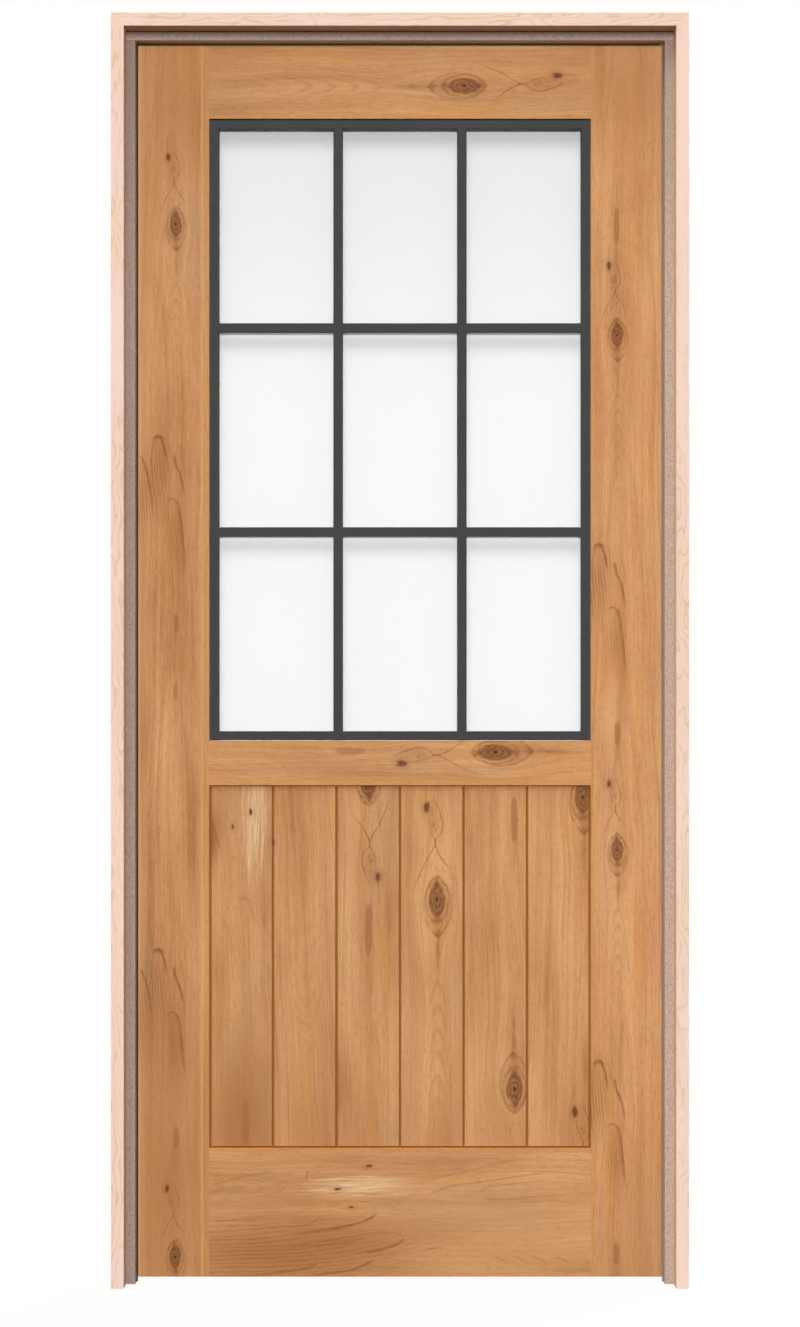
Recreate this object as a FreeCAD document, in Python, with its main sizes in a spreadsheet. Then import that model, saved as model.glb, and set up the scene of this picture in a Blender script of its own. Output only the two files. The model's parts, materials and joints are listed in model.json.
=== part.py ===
# Half glazed door unit: a knotty alder leaf hung on three butt hinges in a plain wood frame.
# The upper half is a sealed glass unit between two welded steel grilles, the lower half a panel of
# tongued and grooved boards. Everything is in millimetres. X runs across the opening from the outer
# face of the hinge jamb, Y from the front of the door to its back, and Z up from the floor.
import FreeCAD, Part
import os
import re
import Sketcher

doc = FreeCAD.newDocument("half_glazed_door")

# Driving dimensions: name, value in millimetres or a count, and what it is.
DIMENSIONS = [
    ("leaf_width", 914, "leaf, edge to edge"),
    ("leaf_height", 2102, "leaf, bottom to top"),
    ("leaf_thickness", 44.5, "leaf, front to back"),
    ("edge_gap", 5.2, "running gap at the leaf's sides and top"),
    ("bottom_gap", 6, "leaf's clearance over the floor"),
    ("lock_edge_bevel", 2.3, "how far the lock edge leans back towards the front"),
    ("jamb_thickness", 21.5, "jambs and head"),
    ("jamb_depth", 133, "frame, front to back"),
    ("stop_projection", 16, "door stop, out from the jamb"),
    ("stop_depth", 28, "door stop, front to back"),
    ("stop_rounding", 2, "radius of the stop's front arris"),
    ("seal_width", 14, "seal, along the stop's back"),
    ("seal_proud", 2, "seal's soft edge, out past the stop"),
    ("seal_depth", 7.5, "seal, out from the stop's back"),
    ("seal_rounding", 3, "radius of the seal's soft edge"),
    ("seal_clearance", 5.1, "seal to the leaf"),
    ("stile_width", 133, "stiles of the leaf"),
    ("top_rail_height", 136, "top rail"),
    ("lock_rail_height", 75, "rail under the glass"),
    ("bottom_rail_height", 218.6, "bottom rail"),
    ("panel_height", 616, "boards that show between the lock rail and the bottom rail"),
    ("tenon_thickness", 14, "rail tenons"),
    ("tenon_length", 45, "rail tenons, into the stiles"),
    ("tenon_shoulder", 20, "rail edge to tenon edge"),
    ("tenon_end_gap", 2, "tenon end to the mortise's bottom"),
    ("plank_count", 6, "boards in the panel"),
    ("plank_thickness", 27.5, "boards of the panel"),
    ("tongue_thickness", 10, "tongues of the boards"),
    ("tongue_length", 12, "tongues of the boards"),
    ("tongue_end_gap", 0.5, "tongue to the groove's bottom"),
    ("joint_width", 4.6, "V joint at the face of the boards"),
    ("joint_depth", 4, "V joint, into the boards"),
    ("glass_unit_thickness", 24.5, "sealed unit, face to face"),
    ("pane_thickness", 4, "each pane of the sealed unit"),
    ("glass_bite", 7, "glass edge, into the groove of the leaf"),
    ("glass_edge_gap", 3, "glass edge to the groove's bottom"),
    ("grille_thickness", 7.8, "steel grille, front to back"),
    ("grille_gap", 1.5, "steel border to the wood round it"),
    ("border_width", 15, "steel border"),
    ("bar_width", 16, "steel bars"),
    ("bar_edge", 1, "bevel on the face edges of the steel"),
    ("columns", 3, "lights across"),
    ("rows", 3, "lights up"),
    ("hinge_height", 102, "butt hinges"),
    ("hinge_plate_width", 44, "hinge plate, from the pin's centre"),
    ("hinge_plate_thickness", 2.5, "hinge plates, let in flush"),
    ("barrel_radius", 6.2, "hinge knuckles"),
    ("knuckle_count", 5, "knuckles of each hinge"),
    ("knuckle_gap", 0.3, "running gap between knuckles"),
    ("pin_radius", 3, "hinge pin"),
    ("pin_clearance", 0.05, "running clearance round the pin"),
    ("pin_head_radius", 5, "button on top of the pin"),
    ("pin_head_height", 3, "button on top of the pin"),
    ("pin_setback", 7, "pin's centre, behind the leaf's back face"),
    ("top_hinge_margin", 178, "top of the leaf to the top hinge"),
    ("bottom_hinge_margin", 279, "bottom of the leaf to the bottom hinge"),
]

sheet = doc.addObject("Spreadsheet::Sheet", "Sizes")
for row, (name, value, what) in enumerate(DIMENSIONS, start=1):
    sheet.set(f"A{row}", name)
    sheet.set(f"B{row}", str(value))
    sheet.set(f"C{row}", what)
    sheet.setAlias(f"B{row}", name)
doc.recompute()

NAMES = {name for name, value, what in DIMENSIONS}

# Places worked out from the driving dimensions, as formulas of the sheet's names.
OPENING_WIDTH = "(leaf_width + 2 * edge_gap)"
HEAD_BOTTOM = "(bottom_gap + leaf_height + edge_gap)"
JAMB_FRONT = "(-jamb_depth / 2)"
LEAF_LEFT = "(jamb_thickness + edge_gap)"
LEAF_MIDDLE = "(jamb_depth / 2 - leaf_thickness / 2)"
STOP_BACK = "(jamb_depth / 2 - leaf_thickness - seal_clearance - seal_depth)"
STOP_FRONT = f"({STOP_BACK} - stop_depth)"
RAIL_LEFT = f"({LEAF_LEFT} + stile_width)"
RAIL_LENGTH = "(leaf_width - 2 * stile_width)"
LOCK_RAIL_BOTTOM = "(bottom_rail_height + panel_height)"
GLASS_BOTTOM = f"({LOCK_RAIL_BOTTOM} + lock_rail_height)"
GLASS_TOP = "(leaf_height - top_rail_height)"
PANEL_GROOVE = "(tongue_length + tongue_end_gap)"
GLASS_GROOVE = "(glass_bite + glass_edge_gap)"
PLANK_WIDTH = f"({RAIL_LENGTH} / plank_count)"
PIN_X = "(jamb_thickness + edge_gap / 2)"
PIN_Y = "(jamb_depth / 2 + pin_setback)"
PLATE_IN_EDGE = "(hinge_plate_width - pin_setback)"
LOWEST_HINGE = "bottom_hinge_margin"
HIGHEST_HINGE = "(leaf_height - top_hinge_margin - hinge_height)"

# The bottom of each hinge, measured up from the bottom of the leaf.
HINGES = {
    "bottom": LOWEST_HINGE,
    "middle": f"(({LOWEST_HINGE} + {HIGHEST_HINGE}) / 2)",
    "top": HIGHEST_HINGE,
}


def formula(text):
    """The same formula with every size name pointing at its cell in the sheet."""
    return re.sub(r"[a-z_]+", lambda word: f"Sizes.{word[0]}" if word[0] in NAMES else word[0], text)


def value_of(text):
    """What a formula comes to now."""
    return float(sheet.evalExpression(formula(text)))


def piece(name, x, y, z):
    """A new sub-part with its own origin at this place of the door unit."""
    body = doc.addObject("PartDesign::Body", name)
    body.Label = name
    for axis, place in zip("xyz", (x, y, z)):
        body.setExpression(f"Placement.Base.{axis}", formula(place))
    return body


def draw(body, plane, outlines, offset="0"):
    """A sketch of closed outlines on one of the body's own planes. Each corner is a pair of formulas."""
    sketch = body.newObject("Sketcher::SketchObject", f"{body.Name}_outline")
    origin_plane = next(f for f in body.Origin.OriginFeatures if f.Role == plane)
    sketch.AttachmentSupport = (origin_plane, "")
    sketch.MapMode = "FlatFace"
    sketch.setExpression("AttachmentOffset.Base.z", formula(offset))
    for outline in outlines:
        corners = [FreeCAD.Vector(value_of(a), value_of(b), 0) for a, b in outline]
        first = sketch.GeometryCount
        for i, corner in enumerate(corners):
            sketch.addGeometry(Part.LineSegment(corner, corners[(i + 1) % len(corners)]))
        for i, (a, b) in enumerate(outline):
            line = first + i
            before = first + (i - 1) % len(corners)
            sketch.addConstraint(Sketcher.Constraint("Coincident", before, 2, line, 1))
            for kind, text, number in (("DistanceX", a, corners[i].x), ("DistanceY", b, corners[i].y)):
                held = sketch.addConstraint(Sketcher.Constraint(kind, -1, 1, line, 1, number))
                sketch.setExpression(f"Constraints[{held}]", formula(text))
    return sketch


def draw_circle(body, plane, radius):
    """A sketch of one circle about the body's own axis."""
    sketch = body.newObject("Sketcher::SketchObject", f"{body.Name}_circle")
    origin_plane = next(f for f in body.Origin.OriginFeatures if f.Role == plane)
    sketch.AttachmentSupport = (origin_plane, "")
    sketch.MapMode = "FlatFace"
    up = FreeCAD.Vector(0, 0, 1)
    circle = sketch.addGeometry(Part.Circle(FreeCAD.Vector(0, 0, 0), up, value_of(radius)))
    sketch.addConstraint(Sketcher.Constraint("Coincident", circle, 3, -1, 1))
    held = sketch.addConstraint(Sketcher.Constraint("Radius", circle, value_of(radius)))
    sketch.setExpression(f"Constraints[{held}]", formula(radius))
    return sketch


def box_corners(left, low, right, high):
    """The four corners of an upright rectangle."""
    return [(left, low), (right, low), (right, high), (left, high)]


def pad(body, sketch, length, reverse=False, both_ways=False):
    """Stock raised from a sketch: along its normal, against it, or evenly on both sides."""
    feature = body.newObject("PartDesign::Pad", f"{body.Name}_pad")
    feature.Profile = sketch
    feature.SideType = "Symmetric" if both_ways else "One side"
    feature.Reversed = reverse
    feature.setExpression("Length", formula(length))
    return feature


def pocket(body, sketch, depth=None, reverse=False, both_ways=False):
    """Stock cut away below a sketch, to a depth or right through."""
    doc.recompute()
    before = body.Shape.Volume
    feature = body.newObject("PartDesign::Pocket", f"{body.Name}_pocket")
    feature.Profile = sketch
    feature.SideType = "Symmetric" if both_ways else "One side"
    feature.Reversed = reverse
    if depth is None:
        feature.Type = "ThroughAll"
    else:
        feature.setExpression("Length", formula(depth))
    doc.recompute()
    if body.Shape.Volume >= before:
        raise RuntimeError(f"a pocket in {body.Label} cuts nothing")
    return feature


def edges_at(feature, axis, place, length_over):
    """Names of a feature's edges that lie flat at one place along an axis and are long enough."""
    names = []
    for number, edge in enumerate(feature.Shape.Edges, start=1):
        ends = [getattr(vertex.Point, axis) for vertex in edge.Vertexes]
        if all(abs(end - place) < 0.001 for end in ends) and edge.Length > length_over:
            names.append(f"Edge{number}")
    return names


# Frame: two side jambs and a head of the same board, mitred where they meet.

def add_jamb(name, x, inner_side):
    """One side jamb, as tall as the head's underside on its inner face and mitred up from there."""
    jamb = piece(name, x, JAMB_FRONT, "0")
    outer_top = f"{HEAD_BOTTOM} + jamb_thickness"
    left_top, right_top = (outer_top, HEAD_BOTTOM) if inner_side == "right" else (HEAD_BOTTOM, outer_top)
    front = [("0", "0"), ("jamb_thickness", "0"), ("jamb_thickness", right_top), ("0", left_top)]
    pad(jamb, draw(jamb, "XZ_Plane", [front]), "jamb_depth", reverse=True)
    return jamb


hinge_jamb = add_jamb("hinge_jamb", "0", "right")
lock_jamb = add_jamb("lock_jamb", f"jamb_thickness + {OPENING_WIDTH}", "left")

head_jamb = piece("head_jamb", "0", JAMB_FRONT, HEAD_BOTTOM)
head_front = [
    ("jamb_thickness", "0"),
    (f"jamb_thickness + {OPENING_WIDTH}", "0"),
    (f"2 * jamb_thickness + {OPENING_WIDTH}", "jamb_thickness"),
    ("0", "jamb_thickness"),
]
pad(head_jamb, draw(head_jamb, "XZ_Plane", [head_front]), "jamb_depth", reverse=True)


# Door stops: planted strips, the side ones cut under the head one, the front arris rounded.

def add_stop(name, x, z, width, height, inner_axis, inner_face):
    """One planted door stop."""
    stop = piece(name, x, STOP_FRONT, z)
    front = draw(stop, "XZ_Plane", [box_corners("0", "0", width, height)])
    stock = pad(stop, front, "stop_depth", reverse=True)
    doc.recompute()
    front_edges = edges_at(stock, "y", 0, 0)
    inner_edges = edges_at(stock, inner_axis, value_of(inner_face), 0)
    arris = stop.newObject("PartDesign::Fillet", f"{name}_arris")
    arris.Base = (stock, [edge for edge in front_edges if edge in inner_edges])
    arris.setExpression("Radius", formula("stop_rounding"))
    return stop


SIDE_STOP_HEIGHT = f"{HEAD_BOTTOM} - stop_projection"
LOCK_STOP_LEFT = f"jamb_thickness + {OPENING_WIDTH} - stop_projection"
add_stop("hinge_stop", "jamb_thickness", "0", "stop_projection", SIDE_STOP_HEIGHT, "x", "stop_projection")
add_stop("lock_stop", LOCK_STOP_LEFT, "0", "stop_projection", SIDE_STOP_HEIGHT, "x", "0")
add_stop("head_stop", "jamb_thickness", SIDE_STOP_HEIGHT, OPENING_WIDTH, "stop_projection", "z", "0")


# Weather seal: one soft strip round the back of the three stops, with a rounded face to the leaf.
# Its edge stands a little proud of the stops, so that it shows as a dark line round the leaf.

SEAL_OUTER = "(stop_projection + seal_proud - seal_width)"
SEAL_SPAN = f"({OPENING_WIDTH} - 2 * {SEAL_OUTER})"
SEAL_TOP = f"({HEAD_BOTTOM} - {SEAL_OUTER})"
seal = piece("weather_seal", f"jamb_thickness + {SEAL_OUTER}", STOP_BACK, "0")
seal_front = [
    ("0", "0"),
    ("seal_width", "0"),
    ("seal_width", f"{SEAL_TOP} - seal_width"),
    (f"{SEAL_SPAN} - seal_width", f"{SEAL_TOP} - seal_width"),
    (f"{SEAL_SPAN} - seal_width", "0"),
    (SEAL_SPAN, "0"),
    (SEAL_SPAN, SEAL_TOP),
    ("0", SEAL_TOP),
]
seal_pad = pad(seal, draw(seal, "XZ_Plane", [seal_front]), "seal_depth", reverse=True)
doc.recompute()
seal_round = seal.newObject("PartDesign::Fillet", "seal_round")
seal_round.Base = (seal_pad, edges_at(seal_pad, "y", value_of("seal_depth"), value_of("seal_width")))
seal_round.setExpression("Radius", formula("seal_rounding"))


# Leaf: two full-height stiles with the rails tenoned between them. Every piece of the leaf has its
# own origin on the leaf's mid plane, because the leaf is the same on both faces.

def add_stile(name, x, profile, inner_face, inner_reverse):
    """A stile, ploughed on its inner edge for the boards and for the glass, and mortised for the rails."""
    stile = piece(name, x, LEAF_MIDDLE, "bottom_gap")
    pad(stile, draw(stile, "XY_Plane", [profile]), "leaf_height")
    boards = box_corners(
        "-tongue_thickness / 2",
        f"bottom_rail_height - {PANEL_GROOVE}",
        "tongue_thickness / 2",
        f"{LOCK_RAIL_BOTTOM} + {PANEL_GROOVE}",
    )
    plough = draw(stile, "YZ_Plane", [boards], inner_face)
    pocket(stile, plough, PANEL_GROOVE, reverse=inner_reverse)
    glass = box_corners(
        "-glass_unit_thickness / 2",
        f"{GLASS_BOTTOM} - {GLASS_GROOVE}",
        "glass_unit_thickness / 2",
        f"{GLASS_TOP} + {GLASS_GROOVE}",
    )
    pocket(stile, draw(stile, "YZ_Plane", [glass], inner_face), GLASS_GROOVE, reverse=inner_reverse)
    rails = [("0", "bottom_rail_height"), (LOCK_RAIL_BOTTOM, GLASS_BOTTOM), (GLASS_TOP, "leaf_height")]
    mortises = [
        box_corners(
            "-tenon_thickness / 2",
            f"{low} + tenon_shoulder",
            "tenon_thickness / 2",
            f"{high} - tenon_shoulder",
        )
        for low, high in rails
    ]
    sketch = draw(stile, "YZ_Plane", mortises, inner_face)
    pocket(stile, sketch, "tenon_length + tenon_end_gap", reverse=inner_reverse)
    return stile


hinge_profile = box_corners("0", "-leaf_thickness / 2", "stile_width", "leaf_thickness / 2")
lock_profile = [
    ("0", "-leaf_thickness / 2"),
    ("stile_width - lock_edge_bevel", "-leaf_thickness / 2"),
    ("stile_width", "leaf_thickness / 2"),
    ("0", "leaf_thickness / 2"),
]
hinge_stile = add_stile("hinge_stile", LEAF_LEFT, hinge_profile, "stile_width", False)
lock_stile = add_stile("lock_stile", f"{RAIL_LEFT} + {RAIL_LENGTH}", lock_profile, "0", True)


def add_rail(name, bottom, height, grooves):
    """A rail with a stub tenon at each end, ploughed along the edges that hold boards or glass."""
    rail = piece(name, RAIL_LEFT, LEAF_MIDDLE, f"bottom_gap + {bottom}")
    front = draw(rail, "XZ_Plane", [box_corners("0", "0", RAIL_LENGTH, height)])
    pad(rail, front, "leaf_thickness", both_ways=True)
    tenons = box_corners(
        "-tenon_length",
        "tenon_shoulder",
        f"{RAIL_LENGTH} + tenon_length",
        f"{height} - tenon_shoulder",
    )
    pad(rail, draw(rail, "XZ_Plane", [tenons]), "tenon_thickness", both_ways=True)
    for edge, thickness, depth in grooves:
        low, high = ("0", depth) if edge == "bottom" else (f"{height} - {depth}", height)
        groove = box_corners(f"-{thickness} / 2", low, f"{thickness} / 2", high)
        pocket(rail, draw(rail, "YZ_Plane", [groove]), both_ways=True)
    return rail


FOR_GLASS = ("glass_unit_thickness", GLASS_GROOVE)
FOR_BOARDS = ("tongue_thickness", PANEL_GROOVE)
add_rail("top_rail", GLASS_TOP, "top_rail_height", [("bottom", *FOR_GLASS)])
add_rail("lock_rail", LOCK_RAIL_BOTTOM, "lock_rail_height", [("top", *FOR_GLASS), ("bottom", *FOR_BOARDS)])
add_rail("bottom_rail", "0", "bottom_rail_height", [("top", *FOR_BOARDS)])


# Panel: boards with a tongue on the right edge and a groove on the left. The first board has a
# tongue on both edges, because its left one sits in the stile. The arrises are bevelled on both
# faces, so that each joint shows as a V. The ends are cut back to tongues for the rails.

def add_plank(number, is_last):
    """One board of the panel. Against a stile the bevel is as wide as a whole joint."""
    left = f"{RAIL_LEFT} + {number - 1} * {PLANK_WIDTH}"
    plank = piece(f"plank_{number}", left, LEAF_MIDDLE, f"bottom_gap + bottom_rail_height - tongue_length")
    face = "plank_thickness / 2"
    tongue = "tongue_thickness / 2"
    bevel = "joint_width / 2"
    left_bevel = "joint_width" if number == 1 else bevel
    right_bevel = "joint_width" if is_last else bevel
    left_edge = "-tongue_length" if number == 1 else PANEL_GROOVE
    section = [
        (left_bevel, f"-{face}"),
        (f"{PLANK_WIDTH} - {right_bevel}", f"-{face}"),
        (PLANK_WIDTH, f"-{face} + joint_depth"),
        (PLANK_WIDTH, f"-{tongue}"),
        (f"{PLANK_WIDTH} + tongue_length", f"-{tongue}"),
        (f"{PLANK_WIDTH} + tongue_length", tongue),
        (PLANK_WIDTH, tongue),
        (PLANK_WIDTH, f"{face} - joint_depth"),
        (f"{PLANK_WIDTH} - {right_bevel}", face),
        (left_bevel, face),
        ("0", f"{face} - joint_depth"),
        ("0", tongue),
        (left_edge, tongue),
        (left_edge, f"-{tongue}"),
        ("0", f"-{tongue}"),
        ("0", f"-{face} + joint_depth"),
    ]
    length = "(panel_height + 2 * tongue_length)"
    pad(plank, draw(plank, "XY_Plane", [section]), length)
    shoulders = []
    for side in ("-", ""):
        inward = "+" if side == "-" else "-"
        profile = [
            (f"{side}{face}", "0"),
            (f"{side}{tongue}", "0"),
            (f"{side}{tongue}", "tongue_length"),
            (f"{side}{face} {inward} joint_depth", "tongue_length"),
            (f"{side}{face}", f"tongue_length + {bevel}"),
        ]
        shoulders.append(profile)
        shoulders.append([(across, f"{length} - ({up})") for across, up in profile])
    pocket(plank, draw(plank, "YZ_Plane", shoulders), both_ways=True)
    return plank


plank_total = int(value_of("plank_count"))
for number in range(1, plank_total + 1):
    add_plank(number, number == plank_total)


# Sealed glass unit: two panes held apart by a spacer, its edges in the grooves of the leaf.

GLASS_LEFT = f"({RAIL_LEFT} - glass_bite)"
GLASS_LOW = f"(bottom_gap + {GLASS_BOTTOM} - glass_bite)"
GLASS_WIDTH = f"({RAIL_LENGTH} + 2 * glass_bite)"
GLASS_HEIGHT = f"({GLASS_TOP} - {GLASS_BOTTOM} + 2 * glass_bite)"
UNIT_FRONT = f"({LEAF_MIDDLE} - glass_unit_thickness / 2)"
UNIT_BACK = f"({LEAF_MIDDLE} + glass_unit_thickness / 2)"
SPACER_DEPTH = "(glass_unit_thickness - 2 * pane_thickness)"

glass_outline = box_corners("0", "0", GLASS_WIDTH, GLASS_HEIGHT)
spacer_hole = box_corners(
    "glass_bite",
    "glass_bite",
    f"{GLASS_WIDTH} - glass_bite",
    f"{GLASS_HEIGHT} - glass_bite",
)
for name, front, depth, outlines in (
    ("front_pane", UNIT_FRONT, "pane_thickness", [glass_outline]),
    ("glass_spacer", f"{UNIT_FRONT} + pane_thickness", SPACER_DEPTH, [glass_outline, spacer_hole]),
    ("back_pane", f"{UNIT_BACK} - pane_thickness", "pane_thickness", [glass_outline]),
):
    layer = piece(name, GLASS_LEFT, front, GLASS_LOW)
    pad(layer, draw(layer, "XZ_Plane", outlines), depth, reverse=True)


# Steel grilles: a welded border with bars across it, one on each face of the glass, filling the
# opening of the leaf but for a shadow gap.

GRILLE_WIDTH = f"({RAIL_LENGTH} - 2 * grille_gap)"
GRILLE_HEIGHT = f"({GLASS_TOP} - {GLASS_BOTTOM} - 2 * grille_gap)"
LIGHT_WIDTH = f"(({GRILLE_WIDTH} - 2 * border_width - (columns - 1) * bar_width) / columns)"
LIGHT_HEIGHT = f"(({GRILLE_HEIGHT} - 2 * border_width - (rows - 1) * bar_width) / rows)"


def add_grille(name, front, face_depth):
    """One welded grille. Its face edges are bevelled on the side that shows."""
    grille = piece(name, f"{RAIL_LEFT} + grille_gap", front, f"bottom_gap + {GLASS_BOTTOM} + grille_gap")
    lights = []
    for column in range(int(value_of("columns"))):
        for row in range(int(value_of("rows"))):
            left = f"border_width + {column} * ({LIGHT_WIDTH} + bar_width)"
            low = f"border_width + {row} * ({LIGHT_HEIGHT} + bar_width)"
            lights.append(box_corners(left, low, f"{left} + {LIGHT_WIDTH}", f"{low} + {LIGHT_HEIGHT}"))
    outer = box_corners("0", "0", GRILLE_WIDTH, GRILLE_HEIGHT)
    weldment = pad(grille, draw(grille, "XZ_Plane", [outer] + lights), "grille_thickness", reverse=True)
    doc.recompute()
    bevel = grille.newObject("PartDesign::Chamfer", f"{name}_bevel")
    bevel.Base = (weldment, edges_at(weldment, "y", value_of(face_depth), 0))
    bevel.setExpression("Size", formula("bar_edge"))
    return grille


add_grille("front_grille", f"{UNIT_FRONT} - grille_thickness", "0")
add_grille("back_grille", UNIT_BACK, "grille_thickness")


# Butt hinges: two plates let in flush, with knuckles that interleave round a loose pin. Their own
# origin is on the pin's centre, at the bottom of the hinge.

KNUCKLE = "(hinge_height / knuckle_count)"
REACH = "(barrel_radius + knuckle_gap)"


def add_hinge_plate(name, bottom, side, first_knuckle):
    """A hinge plate with every other knuckle; side is -1 for the jamb's plate and 1 for the leaf's."""
    plate = piece(name, PIN_X, PIN_Y, f"bottom_gap + {bottom}")
    near = f"{side} * edge_gap / 2"
    far = f"{side} * (edge_gap / 2 + hinge_plate_thickness)"
    flat = [(near, "-hinge_plate_width"), (far, "-hinge_plate_width"), (far, "0"), (near, "0")]
    pad(plate, draw(plate, "XY_Plane", [flat]), "hinge_height")
    pad(plate, draw_circle(plate, "XY_Plane", "barrel_radius"), "hinge_height")
    pocket(plate, draw_circle(plate, "XY_Plane", "pin_radius + pin_clearance"), both_ways=True)
    knuckles = int(value_of("knuckle_count"))
    for other in range(1 - first_knuckle, knuckles, 2):
        low = f"{other} * {KNUCKLE} - knuckle_gap / 2" if other else "0"
        high = f"{other + 1} * {KNUCKLE} + knuckle_gap / 2" if other + 1 < knuckles else "hinge_height"
        notch = draw(plate, "XY_Plane", [box_corners(f"-{REACH}", f"-{REACH}", REACH, REACH)], low)
        pocket(plate, notch, f"{high} - ({low})", reverse=True)
    return plate


def add_hinge_pin(name, bottom):
    """A loose pin with a flat button that rests on the top knuckle."""
    pin = piece(name, PIN_X, PIN_Y, f"bottom_gap + {bottom}")
    half = [
        ("0", "0"),
        ("pin_radius", "0"),
        ("pin_radius", "hinge_height"),
        ("pin_head_radius", "hinge_height"),
        ("pin_head_radius", "hinge_height + pin_head_height"),
        ("0", "hinge_height + pin_head_height"),
    ]
    sketch = draw(pin, "XZ_Plane", [half])
    turned = pin.newObject("PartDesign::Revolution", f"{name}_turned")
    turned.Profile = sketch
    turned.ReferenceAxis = (sketch, ["V_Axis"])
    return pin


def let_in(wood, face_offset, reverse, low):
    """The gains in a jamb or stile that the three hinge plates lie in, at the wood's back edge."""
    back = "jamb_depth" if wood is hinge_jamb else "leaf_thickness / 2"
    gains = [
        box_corners(
            f"{back} - {PLATE_IN_EDGE}",
            f"{low} + {bottom}",
            back,
            f"{low} + {bottom} + hinge_height",
        )
        for bottom in HINGES.values()
    ]
    pocket(wood, draw(wood, "YZ_Plane", gains, face_offset), "hinge_plate_thickness", reverse=reverse)


let_in(hinge_jamb, "jamb_thickness", False, "bottom_gap")
let_in(hinge_stile, "0", True, "0")
for place, bottom in HINGES.items():
    add_hinge_plate(f"{place}_hinge_jamb_plate", bottom, -1, 0)
    add_hinge_plate(f"{place}_hinge_leaf_plate", bottom, 1, 1)
    add_hinge_pin(f"{place}_hinge_pin", bottom)


# Check every object and write each sub-part.

doc.recompute()
for item in doc.Objects:
    if "Invalid" in item.State or "Error" in item.State:
        raise RuntimeError(f"{item.Label} did not compute: {item.State}")

os.makedirs("parts", exist_ok=True)
for body in doc.findObjects("PartDesign::Body"):
    if body.Shape.isNull() or not body.Shape.isValid():
        raise RuntimeError(f"{body.Label} has no valid shape")
    body.Shape.exportStep(f"parts/{body.Label}.step")
    print(body.Label, len(body.Shape.Solids), round(body.Shape.Volume / 1000, 1), "cm3")
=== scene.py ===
import json
import math

import bmesh
import bpy
from mathutils import Matrix, Vector


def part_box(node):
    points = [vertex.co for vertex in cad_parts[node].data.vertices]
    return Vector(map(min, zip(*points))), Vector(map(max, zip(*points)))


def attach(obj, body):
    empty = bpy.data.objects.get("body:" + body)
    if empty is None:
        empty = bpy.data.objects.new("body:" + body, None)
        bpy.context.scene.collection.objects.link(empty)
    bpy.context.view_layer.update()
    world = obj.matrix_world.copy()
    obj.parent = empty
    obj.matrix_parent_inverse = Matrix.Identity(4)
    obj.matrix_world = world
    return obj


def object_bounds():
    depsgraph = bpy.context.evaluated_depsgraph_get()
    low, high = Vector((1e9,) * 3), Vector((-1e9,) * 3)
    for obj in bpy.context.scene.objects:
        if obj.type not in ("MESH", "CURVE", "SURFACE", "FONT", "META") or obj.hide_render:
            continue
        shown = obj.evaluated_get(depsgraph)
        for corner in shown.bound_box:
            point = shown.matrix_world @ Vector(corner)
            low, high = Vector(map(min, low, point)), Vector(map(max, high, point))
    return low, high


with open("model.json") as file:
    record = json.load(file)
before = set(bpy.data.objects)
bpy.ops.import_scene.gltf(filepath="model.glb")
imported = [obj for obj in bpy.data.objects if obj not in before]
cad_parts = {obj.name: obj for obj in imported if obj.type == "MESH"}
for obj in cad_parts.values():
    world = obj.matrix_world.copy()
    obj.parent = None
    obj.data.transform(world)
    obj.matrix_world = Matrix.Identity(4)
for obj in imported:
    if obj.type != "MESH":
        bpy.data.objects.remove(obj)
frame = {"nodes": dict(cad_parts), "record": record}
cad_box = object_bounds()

# Studio
# The camera stands 5.9 m in front of the frame, level, a little under half its height, with the long
# lens that the small depth of the frame's return faces asks for. Soft light comes from the upper left.

PHOTO_HEIGHT = 1327
FOCAL_LENGTH_IN_PIXELS = 3527.5
HORIZON_ROW = 703
SENSOR_WIDTH = 36.0
CAMERA_DISTANCE = 5.9
CAMERA_HEIGHT = 0.98
VIEW_LIMIT = 100.0

frame_low, frame_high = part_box("head_jamb")
middle_x = (frame_low.x + frame_high.x) / 2
front_y = frame_low.y

optics = bpy.data.cameras.new("studio_camera")
optics.sensor_fit = "AUTO"
optics.sensor_width = SENSOR_WIDTH
optics.lens = SENSOR_WIDTH * FOCAL_LENGTH_IN_PIXELS / PHOTO_HEIGHT
optics.shift_y = (HORIZON_ROW - PHOTO_HEIGHT / 2) / PHOTO_HEIGHT
optics.clip_end = VIEW_LIMIT
camera = bpy.data.objects.new("studio_camera", optics)
camera.location = (middle_x, front_y - CAMERA_DISTANCE, CAMERA_HEIGHT)
camera.rotation_euler = (math.radians(90), 0, 0)
bpy.context.scene.collection.objects.link(camera)
bpy.context.scene.camera = camera
bpy.context.scene.view_settings.view_transform = "Standard"


def sun(name, turn, height, strength, softness, body=None):
    """Even light from far away. Turn is degrees to the right of the camera's side, height above level.

    Softness is how many degrees wide its source looks. A light with a body lights that body alone, and
    only the body's own pieces shade it.
    """
    light = bpy.data.lights.new(name, "SUN")
    light.energy = strength
    light.angle = math.radians(softness)
    lamp = bpy.data.objects.new(name, light)
    turn, height = math.radians(turn), math.radians(height)
    level = math.cos(height)
    towards = Vector((math.sin(turn) * level, -math.cos(turn) * level, math.sin(height)))
    lamp.rotation_euler = towards.to_track_quat("Z", "Y").to_euler()
    bpy.context.scene.collection.objects.link(lamp)
    if body:
        lit = bpy.data.collections.new(f"{name}_lit")
        for node in frame["record"]["behaviour"]["bodies"][body]:
            lit.objects.link(frame["nodes"][node])
        lamp.light_linking.receiver_collection = lit
        lamp.light_linking.blocker_collection = lit
    return lamp


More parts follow.
